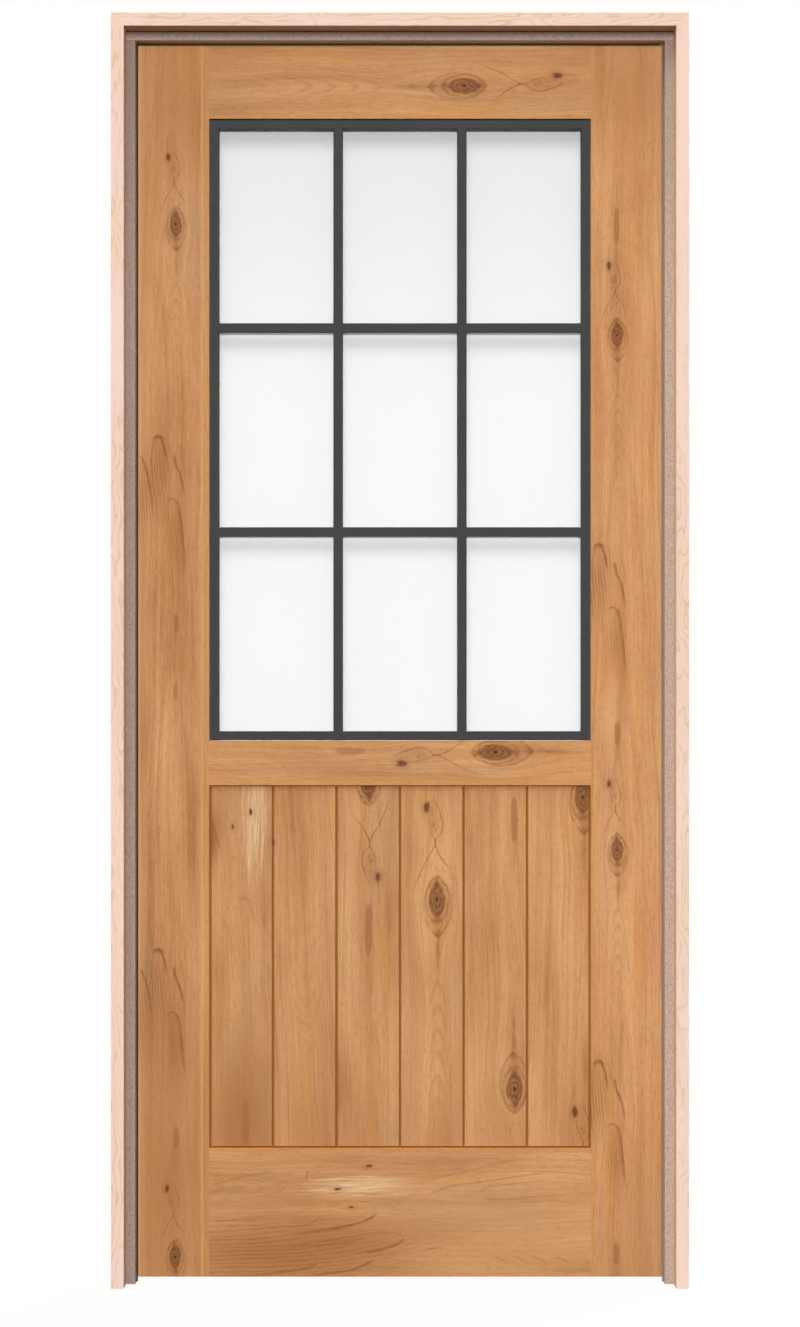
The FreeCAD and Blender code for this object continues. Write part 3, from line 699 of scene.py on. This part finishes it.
def rail_flames(figure):
    """Dark flames in the wide bottom rail, measured from its lower left corner."""
    sheet = figure.sheet
    region = figure.spot(0.036, 0.11, 0.060, 0.22)
    figure.stain(region * 0.95, ALDER_DEEP)
    figure.stain(figure.spot(0.056, 0.25, 0.026, 0.10) * 0.55, REDDISH)
    bow = figure.off - figure.on * figure.on * 0.30
    sway = sheet.noise(sheet.vector(bow * 25, figure.on * 5, 0.0), 1.0, 2.0)
    lines = figure.comb(bow + sway * 0.020 + figure.ragged * 0.003, 0.0072)
    figure.stain(lines * region * (figure.broken * 0.7 - 0.05), LATE_WOOD)
    figure.strokes(
        ([(0.107, 0.285), (0.099, 0.270), (0.092, 0.253), (0.083, 0.211), (0.077, 0.168), (0.071, 0.100)],
         0.0020, 0.95, -0.0065, (0.04, 0.6)),
        ([(0.066, 0.330), (0.074, 0.321), (0.0745, 0.282), (0.068, 0.239), (0.062, 0.157)],
         0.0014, 0.55, -0.0045, (0.02, 0.6)),
        ([(0.066, 0.331), (0.057, 0.324), (0.049, 0.304), (0.043, 0.282), (0.0395, 0.231)],
         0.0024, 1.0, 0.0070, (0.02, 0.6)),
        ([(0.0645, 0.268), (0.063, 0.225), (0.061, 0.174)], 0.0013, 0.5, -0.0035, (0.2, 0.4)),
        ([(0.061, 0.254), (0.0565, 0.219), (0.053, 0.169), (0.047, 0.100)],
         0.0014, 0.65, -0.0040, (0.2, 0.5)),
        ([(0.0425, 0.329), (0.0375, 0.304), (0.033, 0.270)], 0.0014, 0.5, -0.0040, (0.2, 0.5)),
        ([(0.031, 0.283), (0.023, 0.267), (0.012, 0.239), (0.0065, 0.197), (-0.003, 0.134)],
         0.0018, 0.90, -0.0055, (0.1, 0.6)),
        ([(0.033, 0.185), (0.023, 0.184), (0.015, 0.171), (0.009, 0.140), (0.0035, 0.084), (0.0, 0.0)],
         0.0016, 0.75, 0.0055, (0.02, 0.7)),
    )


def rail_lines(figure):
    """Long thin growth lines of the bottom rail, measured as its flames are."""
    figure.stain(figure.spot(0.085, 0.52, 0.075, 0.20) * 0.36, ALDER_LIGHT)
    figure.strokes(
        ([(0.111, 0.192), (0.100, 0.186), (0.094, 0.178), (0.087, 0.157), (0.084, 0.110), (0.079, 0.0)],
         0.0014, 0.45, -0.0035, (0.03, 0.7)),
        ([(0.102, 0.112), (0.0975, 0.055), (0.095, 0.0)], 0.0014, 0.50, -0.0030, (0.4, 0.1)),
        ([(0.0645, 0.120), (0.0635, 0.070), (0.0641, 0.0)], 0.0013, 0.35, -0.0025, (0.3, 0.1)),
        ([(0.179, 0.118), (0.177, 0.097), (0.170, 0.055), (0.162, 0.027), (0.155, 0.0)],
         0.0014, 0.32, -0.0040, (0.3, 0.1)),
        ([(0.1635, 0.608), (0.158, 0.523), (0.152, 0.4775), (0.146, 0.463), (0.138, 0.459)],
         0.0014, 0.42, 0.0035, (0.6, 0.03)),
        ([(0.142, 0.645), (0.1365, 0.551), (0.132, 0.494), (0.1335, 0.460)],
         0.0013, 0.36, -0.0035, (0.5, 0.1)),
        ([(0.190, 0.636), (0.1705, 0.523), (0.1605, 0.452), (0.157, 0.424), (0.141, 0.373)],
         0.0015, 0.42, -0.0040, (0.5, 0.05)),
        ([(0.206, 0.579), (0.1945, 0.4945), (0.180, 0.438), (0.1705, 0.395), (0.156, 0.3615)],
         0.0014, 0.34, -0.0040, (0.5, 0.1)),
    )


def rail_crests(figure):
    """Small crests low in the bottom rail and the pale outer wood near its pin knots."""
    for on in (0.507, 0.5425, 0.574, 0.613):
        points = [(0.0195, on), (0.0285, on - 0.008), (0.0355, on - 0.032)]
        figure.stroke(points, 0.0014, 0.4, -0.0040, (0.1, 0.5))
    figure.stroke([(0.0497, 0.396), (0.0474, 0.373), (0.0375, 0.350)],
                  0.0015, 0.45, -0.0040, (0.03, 0.6))
    figure.crown(0.171, 0.166, 0.011, -0.006, 0.0018, 0.55)


# How far each mark parts the grain: half width, half length, centre along the grain, and strength.
PARTING = {
    knot: (0.021, 0.048, -0.006, 2.6),
    eye: (0.013, 0.030, 0.0, 1.8),
    pin: (0.009, 0.018, 0.0, 2.0),
}
JOINT_PAINTED_SHADE = paint(166, 110, 55)
JOINT_EDGE = 0.0008
RIM_START = 0.009
RIM_FULL = 0.004
HEART_BELOW = 0.022
HEART_TILT = 0.035

# The node groups of the marks, each made when a board first needs it.
figures = {}


def alder(node, grain, seed, marks, heart, tone, lean=0.0, half_thickness=None):
    """The alder of one board. Marks are (kind, across, along, width, length, strength) from its corner.

    Places are in metres. Width and length stretch a mark, and turn it over where they are negative. Seed
    shifts the grain, heart is where its rings centre as a share of the width, tone makes the board paler
    and lean tilts its lines. Half_thickness is given for the boards of the panel, whose joints get
    painted shade.
    """
    material = bpy.data.materials.new(f"alder_{node}")
    sheet = NodeSheet(material)
    low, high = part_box(node)
    width = high.x - low.x if grain == "up" else high.z - low.z
    across, along, depth = grain_axes(sheet, node, grain)
    ragged = sheet.noise(sheet.vector(across * 130 + seed, along * 60, depth * 60), 1.0, 3.0, 0.6) - 0.5

    # Each mark parts the grain that runs past it.
    bent = across
    placed = []
    for kind, mark_across, mark_along, mark_width, mark_length, strength in marks:
        off = across - mark_across
        own_across = off / mark_width
        own_along = (along - mark_along) / mark_length
        placed.append((kind, own_across, own_along, strength))
        if kind in PARTING:
            half_width, half_length, centre, parting = PARTING[kind]
            lobe = bell(sheet, own_across, own_along - centre, half_width, half_length)
            bent = bent - off * (1 - 1 / (lobe * parting + 1))

    # Fine streaks, broad stripes and clouds of tone, warm veins, a pink blush and grey-tan drifts.
    wander = sheet.noise(sheet.vector(across * 7 + seed, along * 2.6, depth * 7), 1.0, 2.0)
    line_place = bent + (wander - 0.5) * 0.034 + along * lean
    streaks = sheet.noise(sheet.vector(line_place * 300 + seed, along * 2.2, depth * 300), 1.0, 3.0, 0.6)
    stripes = sheet.noise(sheet.vector(line_place * 70 + seed, along * 1.1, depth * 70), 1.0, 3.0, 0.55)
    cloud = sheet.noise(sheet.vector(line_place * 16, along * 3.6 + seed, depth * 16), 1.0, 2.0)
    vein = sheet.noise(sheet.vector(line_place * 45, along * 2.4 + seed, depth * 45), 1.0, 2.0)
    level = (streaks - 0.5) * 0.5 + (stripes - 0.5) * 0.8 + (cloud - 0.5) * 1.3 + 0.57 + tone
    colour = sheet.mix(sheet.step(level, 0.08, 0.56), ALDER_DEEP, ALDER_MID)
    colour = sheet.mix(sheet.step(level, 0.44, 0.94), colour, ALDER_LIGHT)
    colour = sheet.mix(sheet.step(vein, 0.54, 0.70) * 0.45, colour, ALDER_WARM)
    colour = sheet.mix(sheet.step(vein, 0.47, 0.34) * 0.30, colour, ALDER_PINK)
    colour = sheet.mix(sheet.step(wander, 0.52, 0.70) * 0.30, colour, ALDER_TAN)

    # The outer edges of a stile or rail catch more colour.
    if not half_thickness:
        from_middle = sheet.function("ABSOLUTE", across - width / 2)
        rim = sheet.step(from_middle, width / 2 - RIM_START, width / 2 - RIM_FULL)
        colour = sheet.mix(rim * 0.7, colour, ALDER_WARM)

    # Growth lines, unevenly spaced, round a heart that lies askew below the face.
    side = line_place - width * heart
    below = depth + along * HEART_TILT + (wander * 0.02 + HEART_BELOW)
    radius = sheet.function("SQRT", side * side + below * below)
    years = sheet.noise(sheet.vector(radius * 210 + seed, along * 0.7, ragged * 0.15), 1.0, 2.0, 0.6)
    late = sheet.step(years, 0.50, 0.68)
    patch = sheet.step(cloud, 0.36, 0.62)
    colour = sheet.mix(late * (patch * 0.15 + 0.07), colour, LATE_WOOD)

    # Fibres, open pores and short dark flecks.
    fibre = sheet.noise(sheet.vector(bent * 620, along * 34 + seed, depth * 620), 1.0, 3.0, 0.65)
    colour = sheet.mix(sheet.step(fibre, 0.5, 0.76) * 0.24, colour, LATE_WOOD)
    colour = sheet.mix(sheet.step(fibre, 0.5, 0.24) * 0.20, colour, SAPWOOD)
    dash = sheet.noise(sheet.vector(bent * 430, along * 95 + seed, depth * 430), 1.0, 1.0)
    colour = sheet.mix(sheet.step(dash, 0.54, 0.72) * 0.20, colour, LATE_WOOD)

    # The marks, each over the one before, and then the finish.
    for kind, own_across, own_along, strength in placed:
        if kind not in figures:
            figures[kind] = Figure(kind).group
        sockets = {
            "Across": own_across,
            "Along": own_along,
            "Ragged": ragged,
            "Strength": strength,
            "Color": colour,
        }
        colour = sheet.add("ShaderNodeGroup", {"node_tree": figures[kind]}, sockets)
    # The walls of the panel's joints, below the face, get painted shade.
    if half_thickness:
        from_core = sheet.function("ABSOLUTE", depth)
        painted_joint_shade = sheet.step(from_core, half_thickness, half_thickness - JOINT_EDGE)
        colour = sheet.mix(painted_joint_shade * 0.75, colour, JOINT_PAINTED_SHADE)
    roughness = 0.5 + fibre * 0.14 - late * 0.05
    relief = fibre * 0.5 - late * 0.3
    finish_surface(sheet, colour, roughness, relief, bump=0.14, specular=0.2, coat=0.04)
    return material


# The stiles' marks, from the top down.
hinge_stile_marks = [
    (shade, 0.066, 1.985, 2.6, 2.6, 0.95),
    (shade, 0.066, 0.180, 2.6, 5.0, 1.2),
    (warm_band, 0.0135, 0, 1, 1, 1),
    (tan_band, 0.0215, 0, 1, 1, 1),
    (streak, 0.0690, 1.930, 1.5, 0.9, 0.35),
    (pale_band, 0.121, 0, 1, 1, 1),
    (eye, 0.074, 1.882, 1, 1, 1),
    (knot, 0.0765, 1.787, 1, 1, 1),
    (arches, 0.0770, 1.690, 1, 1, 1),
    (flame, 0.047, 1.427, 1, 1, 1),
    (streak, 0.0765, 1.110, 0.8, 0.75, 1),
    (streak, 0.076, 0.994, 0.8, 0.75, 0.8),
    (flame, 0.047, 0.556, 1, 1, 1),
    (streak, 0.077, 0.236, 1, 1, 1),
    (eye, 0.0723, 0.130, 1, 1, 1),
    (knot, 0.0757, 0.034, 1, 1, 1),
]
lock_stile_marks = [
    (shade, 0.066, 2.020, 2.6, 1.8, 0.95),
    (shade, 0.066, 1.047, 2.2, 1.0, 0.4),
    (shade, 0.066, 0.060, 2.6, 2.4, 0.5),
    (streak, 0.0434, 1.785, 1.0, 1.5, 1),
    (eye, 0.0417, 1.697, 1, 1, 1),
    (knot, 0.0451, 1.599, 1, 1, 1),
    (arches, 0.046, 1.502, 1, 1, 1),
    (flame, 0.014, 1.243, 1, 1, 1),
    (streak, 0.0451, 0.923, 1, 1, 1),
    (eye, 0.0417, 0.818, 1, 1, 1),
    (knot, 0.0451, 0.7245, 1, 1, 1),
    (arches, 0.046, 0.628, 1, 1, 1),
    (flame, 0.014, 0.366, 1, 1, 1),
    (streak, 0.0434, 0.040, 1, 1, 1),
]
dress("hinge_stile", alder("hinge_stile", "up", 2.2, hinge_stile_marks, heart=0.55, tone=-0.06))
dress("lock_stile", alder("lock_stile", "up", 17.9, lock_stile_marks, heart=0.42, tone=0.04))


def lengthways(rail, marks):
    """Marks of a rail, measured along from the stile's edge and up, turned into across and along."""
    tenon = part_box("hinge_stile")[1].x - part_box(rail)[0].x
    return [(kind, up, along + tenon, *rest) for kind, along, up, *rest in marks]


top_rail_marks = [
    (shade, 0.02, 0.068, 2.4, 1.5, 0.7),
    (shade, 0.64, 0.068, 2.4, 0.9, 0.6),
    (arches, 0.297, 0.0545, -1.5, 1.5, 1),
    (knot, 0.433, 0.0554, -1.35, 1.35, 1),
    (eye, 0.564, 0.0588, -1.35, 1.35, 1),
]
lock_rail_marks = [
    (knot, 0.486, 0.0562, 1.4, -1.4, 1),
    (eye, 0.354, 0.0511, 1.4, -1.4, 1),
    (streak, 0.240, 0.0579, 1.3, -1.3, 0.8),
]
bottom_rail_marks = [
    (arches, 0.165, 0.150, -1.3, 1.3, 0.8),
    (rail_flames, 0.0, 0.0, 1, 1, 1),
    (rail_lines, 0.0, 0.0, 1, 1, 1),
    (rail_crests, 0.0, 0.0, 1, 1, 1),
    (sapwood, 0.250, 0.154, 1.1, 1.6, 1.2),
    (pin, 0.272, 0.188, 1.0, 1.1, 0.9),
    (pin, 0.218, 0.149, 1.1, 1.2, 1),
    (pin, 0.2415, 0.118, 0.9, 1.0, 0.8),
]
for rail, seed, marks, heart, tone in (
    ("top_rail", 5.3, top_rail_marks, 0.45, 0.0),
    ("lock_rail", 31.0, lock_rail_marks, 0.7, 0.10),
    ("bottom_rail", 44.6, bottom_rail_marks, 0.62, 0.03),
):
    dress(rail, alder(rail, "across", seed, lengthways(rail, marks), heart, tone))


# Board panel
# Six tongued and grooved boards of the same alder. The bevelled edges make a V at each joint, and
# the tongues at their ends sit in the rails.

board_marks = {
    1: [
        (shade, 0.010, 0.555, 0.7, 0.9, 1.1),
        (bark_side, 0.0, 0.0, 1, 1, 1),
        (sapwood, 0.076, 0.550, 1.3, 1.7, 1.1),
        (shade, 0.054, 0.045, 2.0, 2.6, 1.6),
        (flame, 0.0590, 0.424, 1.25, 1.0, 0.28),
        (streak, 0.0616, 0.045, 1.3, 2.0, 0.8),
        (pin, 0.070, 0.5704, 1.1, 1.1, 1),
        (pin, 0.0395, 0.5449, 0.9, 0.9, 0.8),
        (pin, 0.108, 0.5177, 0.9, 0.9, 1),
    ],
    2: [
        (pin, 0.001, 0.5177, 0.9, 0.9, 1),
        (arches, 0.058, 0.150, 2.0, -1.6, 0.45),
        (shade, 0.054, 0.050, 2.0, 2.2, 0.5),
        (ripple, 0.058, 0.198, 1, 1, 1),
    ],
    3: [
        (knot, 0.0544, 0.6215, -1.4, -1.4, 1),
        (eye, 0.0560, 0.4855, -1.35, -1.35, 1),
        (streak, 0.0544, 0.371, 1.3, 2.3, 1),
    ],
    4: [
        (eye, 0.0601, 0.5500, 1.4, 1.4, 1),
        (knot, 0.0635, 0.421, 1.4, 1.4, 1),
        (arches, 0.0640, 0.2865, 1.5, 1.5, 1),
    ],
    5: [
        (shade, 0.054, 0.208, 1.8, 0.9, 0.35),
        (streak, 0.0862, 0.5568, 1.2, 2.0, 1),
        (knot, 0.0862, 0.0984, -1.4, -1.4, 1),
    ],
    6: [
        (knot, 0.0953, 0.5958, 1.4, 1.4, 1),
        (shade, 0.0995, 0.135, 0.22, 0.85, 1.4),
        (eye, 0.0953, 0.034, 1.3, 1.3, 1),
    ],
}
BOARD_LEANS = (0.02, 0.05, 0.0, -0.01, 0.03, -0.02)
BOARD_TONES = (-0.02, 0.01, -0.01, 0.09, 0.02, 0.09)
TONGUE = 0.012
SEED_STEP = 7.7
for number, marks in board_marks.items():
    # The marks are measured from the face that shows; the first board has a tongue on its left edge.
    left = TONGUE if number == 1 else 0.0
    # The foot of each board is darker; the band at its head is a painted shadow under the lock rail.
    ends = [(shade, 0.054, -0.010, 2.2, 1.5, 0.6), (shade, 0.054, 0.620, 2.4, 0.45, 0.5)]
    placed = [(kind, across + left, along + TONGUE, *rest) for kind, across, along, *rest in ends + marks]
    board = f"plank_{number}"
    front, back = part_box(board)
    half_thickness = (back.y - front.y) / 2
    heart = 0.3 + 0.08 * number
    tone, lean = BOARD_TONES[number - 1], BOARD_LEANS[number - 1]
    dress(board, alder(board, "up", SEED_STEP * number, placed, heart, tone, lean, half_thickness))


# Sealed glass
# A clear front pane and a satin back pane, held apart by a metal spacer that lies in the groove of
# the leaf, so that the white shows set back behind the front face.

def clear_glass():
    """Thin clear glass: nearly all of the light goes straight through."""
    material = bpy.data.materials.new("clear_glass")
    sheet = NodeSheet(material)
    place = sheet.add("ShaderNodeTexCoord").of("Object")
    smear = sheet.noise(place, 6.0, 3.0)
    surface = {
        "Base Color": paint(120, 126, 124),
        "Roughness": 0.05 + smear * 0.02,
        "Alpha": 0.03,
    }
    shader = sheet.add("ShaderNodeBsdfPrincipled", None, surface)
    sheet.add("ShaderNodeOutputMaterial", None, {"Surface": shader})
    return material


PAINTED_TOP_SHADOW = 0.07


def satin_glass():
    """Etched white glass with a barely uneven bloom, painted shade making it greyer towards its top, and
    a painted shadow along its top edge.
    """
    material = bpy.data.materials.new("satin_glass")
    sheet = NodeSheet(material)
    place = sheet.add("ShaderNodeTexCoord").of("Object")
    bloom = sheet.noise(place, 9.0, 4.0, 0.55)
    low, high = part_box("back_pane")
    # Painted shade: greyer over the upper half, and a painted shadow along the top edge.
    painted_upper_shade = sheet.step(place.part("Z"), (low.z + high.z) / 2, high.z)
    edge = sheet.step(place.part("Z"), high.z - PAINTED_TOP_SHADOW, high.z)
    milk_and_painted_shade = sheet.mix(bloom, paint(255, 255, 255), paint(253, 253, 253))
    milk_and_painted_shade = sheet.mix(painted_upper_shade * 0.9, milk_and_painted_shade, paint(240, 240, 240))
    surface = {
        "Base Color": sheet.mix(edge * 0.5, milk_and_painted_shade, paint(214, 214, 214)),
        "Roughness": 0.36 + bloom * 0.1,
        "Specular IOR Level": 0.3,
    }
    shader = sheet.add("ShaderNodeBsdfPrincipled", None, surface)
    sheet.add("ShaderNodeOutputMaterial", None, {"Surface": shader})
    return material


dress("front_pane", clear_glass())
dress("back_pane", satin_glass())


METAL_RELIEF = 0.0003


def metal(name, tone, worn, metallic, roughness, grain_scale):
    """Metal with a fine uneven surface; the tone drifts towards a second one."""
    material = bpy.data.materials.new(name)
    sheet = NodeSheet(material)
    place = sheet.add("ShaderNodeTexCoord").of("Object")
    speck = sheet.noise(place, grain_scale, 3.0, 0.6)
    drift = sheet.noise(place, 14.0, 3.0)
    relief = {"Height": speck, "Strength": 0.12, "Distance": METAL_RELIEF}
    surface = {
        "Base Color": sheet.mix(sheet.step(drift + (speck - 0.5) * 0.4, 0.3, 0.7), tone, worn),
        "Metallic": metallic,
        "Roughness": roughness + (speck - 0.5) * 0.2,
        "Specular IOR Level": 0.4,
        "Normal": sheet.add("ShaderNodeBump", None, relief),
    }
    shader = sheet.add("ShaderNodeBsdfPrincipled", None, surface)
    sheet.add("ShaderNodeOutputMaterial", None, {"Surface": shader})
    return material


dress("glass_spacer", metal("spacer_metal", paint(170, 172, 174), paint(186, 188, 190), 1.0, 0.4, 300.0))


# Steel grilles
# Flat bar welded into a border with two uprights and two cross bars, ground flush and finished dark
# grey, one on each face of the glass.

grille_steel = metal("grille_steel", paint(48, 49, 51), paint(52, 52, 51), 0.0, 0.55, 420.0)
dress("front_grille", grille_steel)
dress("back_grille", grille_steel)


# Hinges
# Three pairs of steel plates let in flush, with knuckles on a loose pin. Each plate has four
# countersunk screws with a cross recess, in two staggered rows, painted dark inside as shade.

hinge_steel = metal("hinge_steel", paint(150, 148, 144), paint(168, 166, 162), 1.0, 0.34, 700.0)
# The screws' cross recesses take this dark grey as painted shade.
recess_painted_shade = metal("screw_recess_painted_shade", paint(58, 56, 54), paint(84, 80, 76), 0.0, 0.6, 700.0)
SCREW_RADIUS = 0.0042
SCREW_SIDES = 12
SCREW_PROUD = 0.0006
SCREW_TAPER = 0.86
CROWN_RIM = 0.0008
RECESS_RADIUS = 0.0024
RECESS_CORNER = 0.0009
RECESS_DEPTH = 0.0005
RECESS_TAPER = 0.8
SCREW_ROWS = (0.012, 0.037, 0.065, 0.090)
SCREW_INSETS = (0.020, 0.032)


def raise_face(shape, face, height, taper):
    """Draws a face out along +Z, or in where height is below 0, and gives the new face at its end."""
    drawn = bmesh.ops.extrude_face_region(shape, geom=[face])["geom"]
    corners = [part for part in drawn if isinstance(part, bmesh.types.BMVert)]
    bmesh.ops.translate(shape, verts=corners, vec=(0, 0, height))
    bmesh.ops.scale(shape, verts=corners, vec=(taper, taper, 1))
    return next(part for part in drawn if isinstance(part, bmesh.types.BMFace))


def screw_heads(name, plate, side):
    """The screw heads of one plate, as one piece; side is 1 where its face looks towards +X."""
    plate_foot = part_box(plate)[0].z
    face_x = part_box("hinge_jamb")[1].x if side > 0 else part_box("hinge_stile")[0].x
    back_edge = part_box("hinge_jamb")[1].y
    shape = bmesh.new()
    for row, up in enumerate(SCREW_ROWS):
        before = set(shape.verts)
        half_step = Matrix.Rotation(math.radians(180 / SCREW_SIDES), 4, "Z")
        made = bmesh.ops.create_circle(
            shape, cap_ends=True, radius=SCREW_RADIUS, segments=SCREW_SIDES, matrix=half_step)
        crown = raise_face(shape, made["verts"][0].link_faces[0], SCREW_PROUD, SCREW_TAPER)
        bmesh.ops.inset_region(shape, faces=[crown], thickness=CROWN_RIM, depth=0.0)

        # The crown's corners become a cross: those on its diagonals go in. Then it is drawn in.
        for corner in crown.verts:
            turned = math.degrees(math.atan2(corner.co.y, corner.co.x)) % 90
            reach = RECESS_CORNER if abs(turned - 45) < 5 else RECESS_RADIUS
            corner.co.xy = corner.co.xy.normalized() * reach
        bottom = raise_face(shape, crown, -RECESS_DEPTH, RECESS_TAPER)
        bmesh.ops.delete(shape, geom=[crown], context="FACES_ONLY")
        # The recess's floor and walls take the painted shade.
        for edge in bottom.edges:
            for face in edge.link_faces:
                face.material_index = 1
        head = [vert for vert in shape.verts if vert not in before]
        turn = Matrix.Rotation(math.radians(90 * side), 4, "Y")
        place = Matrix.Translation((face_x, back_edge - SCREW_INSETS[row % 2], plate_foot + up))
        bmesh.ops.transform(shape, matrix=place @ turn, verts=head)
    bmesh.ops.recalc_face_normals(shape, faces=shape.faces)
    mesh = bpy.data.meshes.new(name)
    shape.to_mesh(mesh)
    shape.free()
    mesh.materials.append(hinge_steel)
    mesh.materials.append(recess_painted_shade)
    heads = bpy.data.objects.new(name, mesh)
    bpy.context.scene.collection.objects.link(heads)
    return heads


for place in ("bottom", "middle", "top"):
    for node in (f"{place}_hinge_jamb_plate", f"{place}_hinge_leaf_plate", f"{place}_hinge_pin"):
        dress(node, hinge_steel)
    for body, plate, side in (("frame", "jamb", 1), ("leaf", "leaf", -1)):
        heads = screw_heads(f"{place}_{plate}_screws", f"{place}_hinge_{plate}_plate", side)
        bpy.data.collections[f"{body}_key_light_lit"].objects.link(heads)
        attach(heads, body)
